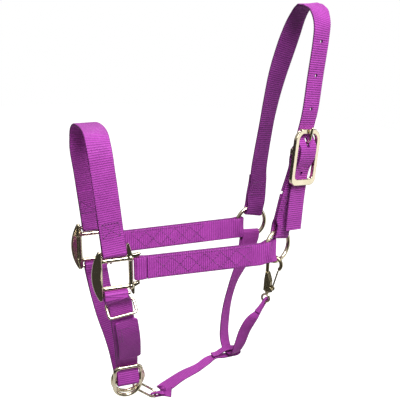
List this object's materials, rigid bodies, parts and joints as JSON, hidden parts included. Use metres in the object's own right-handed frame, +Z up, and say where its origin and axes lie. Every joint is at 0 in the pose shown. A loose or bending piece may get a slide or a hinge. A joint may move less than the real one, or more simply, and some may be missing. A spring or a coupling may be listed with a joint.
{
  "type": "halter",
  "caption": "Flat webbing head halter with cast squares and rings, a crown buckle, a chin strap with adjuster, dee and lead ring, and a throat strap with a swivel snap.",
  "frame": {"origin": "underside of the crown strap at the poll, at mid width, where the halter hangs", "axes": "+Z up, +X from the nose to the crown, -Y towards the near side"},
  "size_m": [0.2817, 0.1145, 0.4504],
  "materials": {
    "webbing": "ribbed weave",
    "narrow_webbing": "fine weave",
    "thread": "matte",
    "cast_brass": "polished",
    "snap_metal": "satin",
    "spring_steel": "satin"
  },
  "bodies": {
    "halter": {"noseband_strap": "webbing", "near_square": "cast_brass", "far_square": "cast_brass", "near_cheek_strap": "webbing", "far_cheek_strap": "webbing", "crown_strap": "webbing", "buckle_strap": "webbing", "chin_strap": "webbing", "chin_flap": "webbing", "connector_strap": "narrow_webbing", "throat_strap": "narrow_webbing", "snap_eye": "cast_brass", "near_cheek_stitching": "thread", "far_cheek_stitching": "thread", "noseband_stitching": "thread", "crown_stitching": "thread", "buckle_strap_stitching": "thread", "chin_stitching": "thread"},
    "near_ring_body": {"near_ring": "cast_brass"},
    "far_ring_body": {"far_ring": "cast_brass"},
    "lead_ring_body": {"lead_ring": "cast_brass"},
    "buckle": {"buckle_frame": "cast_brass"},
    "tongue": {"buckle_tongue": "cast_brass"},
    "dee": {"chin_dee": "cast_brass"},
    "adjuster": {"chin_adjuster": "cast_brass"},
    "link": {"connector_link": "cast_brass"},
    "snap": {"snap_body": "snap_metal", "snap_gate_pin": "spring_steel", "snap_gate_spring": "spring_steel"},
    "gate": {"snap_gate": "snap_metal"}
  },
  "joints": [
    {"name": "near_ring_spin", "type": "hinge", "parent": "halter", "child": "near_ring_body", "pos_m": [-0.051, -0.042, -0.256], "axis": [-0.3746, 0.9272, 0], "continuous": true},
    {"name": "far_ring_spin", "type": "hinge", "parent": "halter", "child": "far_ring_body", "pos_m": [-0.045, 0.045, -0.256], "axis": [0, 1, 0], "continuous": true},
    {"name": "lead_ring_spin", "type": "hinge", "parent": "halter", "child": "lead_ring_body", "pos_m": [-0.2135, 0.0085, -0.417], "axis": [0, 0.9781, 0.2079], "continuous": true},
    {"name": "buckle_tilt", "type": "hinge", "parent": "halter", "child": "buckle", "pos_m": [-0.02697, -0.04683, -0.14906], "axis": [0.9182, 0.371, -0.1392], "range_deg": [-1, 1]},
    {"name": "tongue_hinge", "type": "hinge", "parent": "buckle", "child": "tongue", "pos_m": [-0.02697, -0.04683, -0.14906], "axis": [0.9182, 0.371, -0.1392], "range_deg": [0, 6]},
    {"name": "dee_swing", "type": "hinge", "parent": "halter", "child": "dee", "pos_m": [-0.216, -0.001, -0.4145], "axis": [1, 0, 0], "range_deg": [0, 5]},
    {"name": "adjuster_slide", "type": "slide", "parent": "halter", "child": "adjuster", "axis": [0.115, 0.1721, -0.9783], "range_m": [-0.0005, 0.004]},
    {"name": "link_swing", "type": "hinge", "parent": "halter", "child": "link", "pos_m": [-0.1825, 0.0034, -0.4425], "axis": [0.5179, 0.8019, 0.298], "range_deg": [-0.4, 0.4]},
    {"name": "snap_swivel", "type": "hinge", "parent": "halter", "child": "snap", "pos_m": [-0.054, -0.0422, -0.2772], "axis": [0.1391, -0.1658, 0.9763], "range_deg": [-5, 5]},
    {"name": "gate_hinge", "type": "hinge", "parent": "snap", "child": "gate", "pos_m": [-0.05545, -0.04048, -0.30907], "axis": [0.766, 0.6428, 0], "range_deg": [-18, 0], "stiffness_Nm_per_rad": 0.02, "springref_deg": 17.19}
  ]
}
